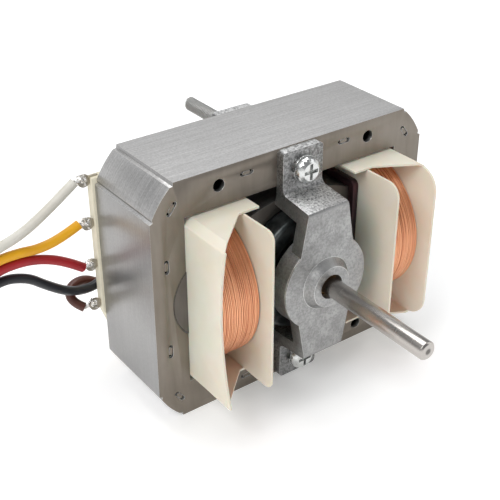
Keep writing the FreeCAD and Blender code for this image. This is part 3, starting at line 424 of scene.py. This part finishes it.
# The rim on the rounded stack edges is lighter than the sheet edges: partly the real sheared burr,
# partly a painted highlight.
burr_and_highlight_rim = Paint("sheared_edge_and_highlight", Metallic=1.0)
nick = burr_and_highlight_rim.noise(1300, 3)
burr_and_highlight_rim.feed(Base_Color=burr_and_highlight_rim.mix(nick, (0.80, 0.79, 0.76), (0.46, 0.45, 0.43)))
burr_and_highlight_rim.feed(Roughness=0.22 + nick * 0.2)
yoke_paint = laminated(
    "lamination_steel", (0.68, 0.675, 0.67), (0.36, 0.355, 0.35),
    (0.28, 0.25, 0.215), (0.21, 0.182, 0.15), joints_and_shade=True,
)
yoke = dressed("lamination_yoke", "yoke_stack", yoke_paint, width=0.0002, rim=burr_and_highlight_rim)


# Interlock marks. Twelve oblong tongues on each face, punched through sheet by sheet so that
# the sheets hold together; each is flush in the middle and torn free of its slot at both ends.
# Each mark has its place out and up from the middle, and its turn in degrees.
marks = ((0.0197, 0.0390, 0), (0.0498, 0.0158, 90), (0.0472, 0.0352, 53.1))


def tongue(work, x, z, turn, face, way):
    """One flush tongue with rounded ends, shorter than its slot and sunk at both tips."""
    rows = []
    half, wide, steps = 0.00085, 0.00068, 28
    for level, inset, sink in ((0, 0.00010, 0.00008), (1, 0.0, 0.0002), (2, 0.0, 0.00078)):
        row = []
        for step in range(steps):
            angle = 2 * math.pi * step / steps
            shift = half if math.cos(angle) > 0 else -half
            a = (wide - inset) * math.cos(angle) + shift
            b = (wide - inset) * math.sin(angle)
            dip = sink + (0.00022 * (abs(a) / (half + wide)) ** 3 if level < 2 else 0)
            c, d = math.cos(turn), math.sin(turn)
            spot = (x + a * c + b * d, face + way * dip, z - a * d + b * c)
            row.append(work.verts.new(spot))
        rows.append(row)
    for upper, lower in zip(rows, rows[1:]):
        for step in range(steps):
            after = (step + 1) % steps
            work.faces.new((upper[step], upper[after], lower[after], lower[step]))
    work.faces.new(rows[0])
    work.faces.new(reversed(rows[-1]))


punched = bmesh.new()
for face, way in ((0.0, 1), (stack_depth, -1)):
    for sx in (-1, 1):
        for sz in (-1, 1):
            for out, up, turn in marks:
                tongue(punched, sx * out, sz * up, sx * sz * math.radians(turn), face, way)
bmesh.ops.recalc_face_normals(punched, faces=punched.faces)
tongue_mesh = bpy.data.meshes.new("interlock_tongues")
punched.to_mesh(tongue_mesh)
tongues = bpy.data.objects.new("interlock_tongues", tongue_mesh)
bpy.context.scene.collection.objects.link(tongues)
alone(tongues)
bpy.ops.object.shade_smooth_by_angle(angle=math.radians(35))
give(tongues, yoke_paint)
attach(tongues, "stator")


# Pole core and shading rings. The inner stack carries the two pole shoes;
# a heavy copper loop round part of each shoe delays its flux and starts the rotor.
# Painted shade: the pole core is the same electrical steel as the yoke, given a much darker copy of its
# colours for the shade it sits in between the bobbins and the bracket.
shaded_core_paint = laminated(
    "pole_steel_in_shade", (0.20, 0.195, 0.185), (0.10, 0.098, 0.094),
    (0.17, 0.155, 0.14), (0.12, 0.108, 0.095), joints_and_shade=True,
)
core = dressed("pole_shoes", "pole_core", shaded_core_paint, width=0.00015)
# The copper loops are coloured near-black as painted shade for the deep shadow they sit in, with a
# mottle of tarnish between two dark tones.
ring_paint = Paint("shading_copper", Metallic=0.8)
tarnish_and_shade = ring_paint.noise(160, 4)
ring_paint.feed(Base_Color=ring_paint.mix(
    ring_paint.mask(tarnish_and_shade, 0.4, 0.65), (0.035, 0.026, 0.028), (0.085, 0.040, 0.046),
))
ring_paint.feed(Roughness=0.30 + tarnish_and_shade * 0.25)
ring_paint.bump(ring_paint.noise(1400, 2), 0.00005)
for side in ("right", "left"):
    loop = dressed(f"{side}_copper_loop", f"{side}_shading_ring", ring_paint, width=0.0003)


# Bobbins. Thin moulded plastic; the outer flange folds over the coil above and below,
# and its slanted flaps reach far in front of the stack.
ivory = Paint("bobbin_plastic", Roughness=0.42, IOR=1.5, Subsurface_Weight=0.25, Subsurface_Scale=0.003)
tint = ivory.noise(70, 3)
ivory.feed(Base_Color=ivory.mix(ivory.mask(tint, 0.3, 0.8), (0.755, 0.72, 0.615), (0.70, 0.645, 0.515)))
ivory.feed(Roughness=0.36 + tint * 0.14)
ivory.bump(ivory.noise(120, 2), 0.00012)
for side in ("left", "right"):
    flanges = dressed(f"{side}_flap_bobbin", f"{side}_bobbin", ivory, width=0.00045, segments=3)


# Coils. Each is one enamelled copper wire wound turn by turn round the tube of its bobbin;
# the last layers don't lie quite side by side.
def wound_layer(name, side, radius, turns, seed, start):
    """One layer of turns as a helix round the straight-sided, round-ended winding."""
    rng = random.Random(seed)
    drift = [rng.uniform(-1, 1) for _ in range(turns + 2)]
    height = [rng.uniform(-1, 1) for _ in range(turns + 2)]
    inner_end, outer_end = 0.0261, 0.0419
    half_flat, wire_radius, steps = 0.0059, 0.00028, 64
    path = []
    for at in range(turns * steps + 1):
        turn, part = divmod(at, steps)
        angle = 2 * math.pi * part / steps
        share = part / steps
        swing = math.sin(angle * 2 + drift[turn] * 3) * 0.00010 * drift[turn]
        wander = (1 - share) * drift[turn] + share * drift[turn + 1]
        lift = (1 - share) * height[turn] + share * height[turn + 1]
        across = inner_end + (outer_end - inner_end) * (turn + share + start) / (turns + start)
        r = radius - 0.00012 + 0.00010 * lift
        y = r * math.cos(angle) + (half_flat if math.cos(angle) > 0 else -half_flat)
        z = r * math.sin(angle)
        path.append((side * (across + swing + wander * 0.00010), stack_depth / 2 + y, z))
    return drawn(name, path, wire_radius, capped=False)


enamel = Paint("enamelled_copper", Metallic=0.75, Coat_Weight=0.35, Coat_Roughness=0.2)
streak = enamel.noise(1.0, 1, (1500, 30, 30))
patch = enamel.noise(90, 3)
enamel.feed(Base_Color=enamel.mix(
    enamel.mask(streak * 0.7 + patch * 0.3, 0.38, 0.62), (0.97, 0.51, 0.29), (0.74, 0.32, 0.17),
))
enamel.feed(Roughness=0.30 + patch * 0.12)
# Painted shade: the winding block under the two outer layers is coloured near-black for the shade in the
# gaps between the turns, not the copper's own colour.
shaded_inner_turns = Paint("buried_turns_in_shade", Metallic=0.6, Roughness=0.5)
depth = shaded_inner_turns.noise(300, 3)
shaded_inner_turns.feed(Base_Color=shaded_inner_turns.mix(depth, (0.07, 0.02, 0.01), (0.04, 0.012, 0.006)))
coil_turns = 25
buried_share = 0.972
tube_reach = 0.0205
for side, sign in (("left", -1), ("right", 1)):
    outer = wound_layer(f"{side}_outer_turns", sign, 0.02622, coil_turns, 11 + sign, 0.0)
    inner = wound_layer(f"{side}_inner_turns", sign, 0.0258, coil_turns, 31 + sign, 0.5)
    for wound in (outer, inner):
        give(wound, enamel)
        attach(wound, "stator")
    block = dressed(f"{side}_winding_block", f"{side}_coil", shaded_inner_turns, width=0.0008, segments=3)
    bpy.ops.object.select_all(action="DESELECT")
    for vertex in block.data.vertices:
        off = Vector((vertex.co.y - stack_depth / 2, vertex.co.z))
        if off.length > tube_reach:
            vertex.co.y = stack_depth / 2 + off.x * buried_share
            vertex.co.z = off.y * buried_share


# Bearing brackets. Die-cast aluminium straps, trimmed and tumbled: a matt speckled skin with painted
# light on its upward faces, rounded edges rubbed bright in tumbling that also carry a painted highlight,
# and a machined boss round the shaft.
casting = Paint("cast_aluminium", Metallic=0.9)
speckle = casting.noise(1350, 4, roughness=0.7)
mottle = casting.noise(210, 4)
broad = casting.noise(60, 2)
tumbled = casting.mask(abs(casting.axes(casting.place)[2]), 0.0262, 0.0285)
fine = casting.mix(casting.mask(mottle, 0.3, 0.7), (0.44, 0.44, 0.435), (0.30, 0.30, 0.295))
fine = casting.mix(casting.mask(speckle, 0.42, 0.62) * 0.5, fine, (0.17, 0.17, 0.17))
grit = casting.mask(speckle * 0.85 + mottle * 0.15, 0.41, 0.60)
rough = casting.mix(grit, (0.06, 0.06, 0.06), (0.47, 0.47, 0.47))
skin_tone = casting.mix(tumbled * (0.35 + broad * 0.7), fine, rough)
way = casting.axes(casting.node("ShaderNodeNewGeometry", out="True Normal"))
# Painted light: faces turned upwards get light patches in the speckle, for the light that falls on them
# from above.
bright = casting.mask(way[2], 0.75, 0.95) * casting.mask(speckle, 0.36, 0.58)
casting.feed(Base_Color=casting.mix(bright, skin_tone, (0.76, 0.76, 0.755)))
casting.feed(Roughness=0.36 + speckle * 0.1)
casting.bump(speckle * 0.7 + mottle * 0.3, 0.00014, 0.8)
# The rims of the rounded edges are near-white: partly real tumbling wear, partly a painted highlight.
worn_and_highlit_edge = Paint("worn_cast_edge_and_highlight", Metallic=0.9)
rub = worn_and_highlit_edge.noise(500, 4)
worn_and_highlit_edge.feed(Base_Color=worn_and_highlit_edge.mix(worn_and_highlit_edge.mask(rub, 0.35, 0.65), (0.50, 0.50, 0.495), (0.95, 0.95, 0.94)))
worn_and_highlit_edge.feed(Roughness=0.22 + rub * 0.16)
worn_and_highlit_edge.bump(rub, 0.0001, 0.6)
for side in ("front", "rear"):
    strap = dressed(
        f"{side}_casting", f"{side}_bracket", casting, width=0.00045, segments=3, angle=24, rim=worn_and_highlit_edge,
    )


# Bearings. Self-aligning sleeves of oil-soaked sintered bronze, with a felt ring as their
# oil store and a pressed steel plate that holds both in the hub.
bronze = Paint("sintered_bronze", Metallic=0.8, Roughness=0.5)
pores = bronze.noise(2600, 2)
bronze.feed(Base_Color=bronze.mix(bronze.mask(pores, 0.4, 0.6), (0.22, 0.13, 0.06), (0.46, 0.29, 0.13)))
bronze.bump(pores, 0.00005)
wool = Paint("oiled_felt", Roughness=0.95, Sheen_Weight=0.3)
fibre = wool.noise(1700, 4)
wool.feed(Base_Color=wool.mix(fibre, (0.60, 0.56, 0.46), (0.36, 0.33, 0.26)))
wool.bump(fibre, 0.0003)
zinc = Paint("bright_zinc", Metallic=1.0)
haze = zinc.noise(500, 3)
zinc.feed(Base_Color=zinc.mix(haze, (0.78, 0.79, 0.78), (0.60, 0.61, 0.60)))
zinc.feed(Roughness=0.16 + haze * 0.18)
zinc.bump(zinc.noise(900, 2), 0.00003)
for side in ("front", "rear"):
    dressed(f"{side}_sleeve", f"{side}_bearing", bronze)
    dressed(f"{side}_felt_ring", f"{side}_oil_felt", wool, width=0.0005)
    plate = dressed(f"{side}_retainer_plate", f"{side}_bearing_retainer", zinc, width=0.0001)


# Through bolts. Two M5 pan heads with a cross recess, spring washers and hex nuts, in bright
# zinc; they clamp both brackets to the stack, and the upper one runs on as a stud.
dull_zinc = Paint("passivated_zinc", Metallic=0.9, Roughness=0.45)
bloom = dull_zinc.noise(700, 3)
dull_zinc.feed(Base_Color=dull_zinc.mix(bloom, (0.52, 0.515, 0.50), (0.36, 0.355, 0.345)))
bolt_level = 0.0364
thread_start = 0.0405
thread_pitch = 0.0008
ridge_radius = 0.00225
root_share = 0.88


def threaded(bolt, level, end):
    """Turns the bare end of a bolt down to its thread root and lays the ridge round it."""
    for vertex in bolt.data.vertices:
        if vertex.co.y > thread_start:
            vertex.co.x *= root_share
            vertex.co.z = level + (vertex.co.z - level) * root_share
    steps = 28
    path = []
    for at in range(int((end - thread_start) / thread_pitch * steps) + 1):
        angle = 2 * math.pi * at / steps
        path.append((
            ridge_radius * math.cos(angle),
            thread_start + thread_pitch * at / steps,
            level + ridge_radius * math.sin(angle),
        ))
    thread = drawn(f"{bolt.name}_thread", path, 0.00024, roundness=1)
    give(thread, dull_zinc)
    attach(thread, "stator")


for name, level, end in (
    ("upper_through_bolt", bolt_level, 0.0616), ("lower_through_bolt", -bolt_level, 0.0424),
):
    bolt = dressed(f"{name}_zinc", name, zinc, width=0.00025, segments=3)
    threaded(bolt, level, end)
dressed("split_washers", "spring_washers", zinc, width=0.00012)
dressed("hex_nuts", "rear_nuts", zinc, width=0.0002)


# Rotor. A stack of slotted sheets with a cast aluminium cage, both coloured near-black,
# pressed on a ground steel shaft between two spacers and two thrust washers.
dark_rotor_paint = laminated(
    "dark_rotor_sheets", (0.085, 0.095, 0.095), (0.03, 0.034, 0.035),
    (0.05, 0.055, 0.055), (0.03, 0.033, 0.034),
)
dressed("rotor_sheets", "rotor_core", dark_rotor_paint, "rotor", 0.00012)
cage = Paint("cage_aluminium", Metallic=0.8)
dark_mottle = cage.noise(220, 4)
cage.feed(Base_Color=cage.mix(cage.mask(dark_mottle, 0.35, 0.7), (0.045, 0.052, 0.052), (0.16, 0.175, 0.175)))
cage.feed(Roughness=0.26 + dark_mottle * 0.2)
cage.bump(cage.noise(700, 3), 0.0001)
dressed("cast_cage", "rotor_cage", cage, "rotor", 0.0003)
ground = Paint("ground_steel", Metallic=1.0)
rings = ground.noise(1.0, 2, (20, 3200, 20))
x, y, z = ground.axes(ground.place)
# Painted shade: the centre hole in the shaft's end is not modelled; a dark round spot stands in for the
# shade inside it.
shaft_face = ground.mask(y * -1.0, 0.0626, 0.0629)
centre = (1.0 - ground.mask((x ** 2 + z ** 2) ** 0.5, 0.0007, 0.0013)) * shaft_face
steel = ground.mix(rings, (0.54, 0.51, 0.48), (0.46, 0.435, 0.41))
ground.feed(Base_Color=ground.mix(centre * 0.8, steel, (0.06, 0.055, 0.05)))
ground.feed(Roughness=0.22 + rings * 0.08)
ground.bump(rings, 0.000006)
dressed("ground_shaft", "shaft", ground, "rotor", 0.0001)
dark_plastic = Paint("thrust_plastic", Roughness=0.5)
grain = dark_plastic.noise(1200, 2)
dark_plastic.feed(Base_Color=dark_plastic.mix(grain, (0.03, 0.028, 0.025), (0.06, 0.055, 0.05)))
for side in ("front", "rear"):
    spacer = dressed(f"{side}_spacer_tube", f"{side}_shaft_spacer", ground, "rotor", 0.0002)
    washer = dressed(f"{side}_thrust_ring", f"{side}_thrust_washer", dark_plastic, "rotor", 0.0001)


# Terminal board. A stamped strip of cream plastic, clipped to the left bobbin behind the stack.
cream = Paint("board_plastic", Roughness=0.5, IOR=1.5)
fleck = cream.noise(600, 3)
cream.feed(Base_Color=cream.mix(fleck, (0.76, 0.715, 0.57), (0.68, 0.63, 0.48)))
cream.bump(cream.noise(1500, 2), 0.00005)
dressed("terminal_strip", "terminal_board", cream, width=0.0003)


# Studio. A flat pale floor with a faint glow that grows away from the motor, four soft boxes
# round and above it, and a sky that is white at the horizon and grey overhead.
table_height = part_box("yoke_stack")[0][2]
bpy.ops.object.select_all(action="DESELECT")
bpy.ops.mesh.primitive_plane_add(size=12, location=(0, 0, table_height))
studio_floor = bpy.context.object
studio_floor.name = "studio_floor"
pale = Paint("pale_floor", Roughness=0.9, Emission_Strength=1.0)
pale.feed(Base_Color=pale.mix(pale.noise(4, 2), (0.94, 0.94, 0.94), (0.96, 0.96, 0.96)))
x, y = pale.axes(pale.place)[:2]
far = pale.mask((x ** 2 + y ** 2) ** 0.5, 0.6, 2.4)
pale.feed(Emission_Color=pale.mix(far, (0.22, 0.22, 0.22), (0.75, 0.75, 0.75)))
give(studio_floor, pale)


def lamp(name, place, wide, tall, power):
    """A soft box that looks at the middle of the motor."""
    bpy.ops.object.light_add(type="AREA", location=place)
    made = bpy.context.object
    made.name = name
    made.data.shape = "RECTANGLE"
    made.data.size, made.data.size_y = wide, tall
    made.data.energy = power
    made.rotation_euler = (-Vector(place)).to_track_quat("-Z", "Y").to_euler()


lamp("key_softbox", (-0.75, -0.20, 0.85), 0.6, 0.6, 6.3)
lamp("fill_softbox", (0.75, -0.55, 0.45), 0.5, 0.7, 1.2)
lamp("top_softbox", (0.05, 0.20, 0.95), 0.7, 0.5, 4.5)
lamp("back_softbox", (0.25, 1.00, 0.70), 1.7, 0.6, 2.3)
world = bpy.data.worlds.new("studio_world")
world.use_nodes = True
bpy.context.scene.world = world
sky = world.node_tree.nodes
where = sky.new("ShaderNodeTexCoord")
height = sky.new("ShaderNodeSeparateXYZ")
fade = sky.new("ShaderNodeValToRGB")
horizon, overhead = fade.color_ramp.elements
horizon.position, horizon.color = 0.10, (1.0, 1.0, 1.0, 1)
overhead.position, overhead.color = 0.30, (0.26, 0.264, 0.272, 1)
world.node_tree.links.new(where.outputs["Generated"], height.inputs[0])
world.node_tree.links.new(height.outputs["Z"], fade.inputs[0])
world.node_tree.links.new(fade.outputs[0], sky["Background"].inputs["Color"])
sky["Background"].inputs["Strength"].default_value = 1.0
bpy.context.scene.view_settings.view_transform = "Standard"
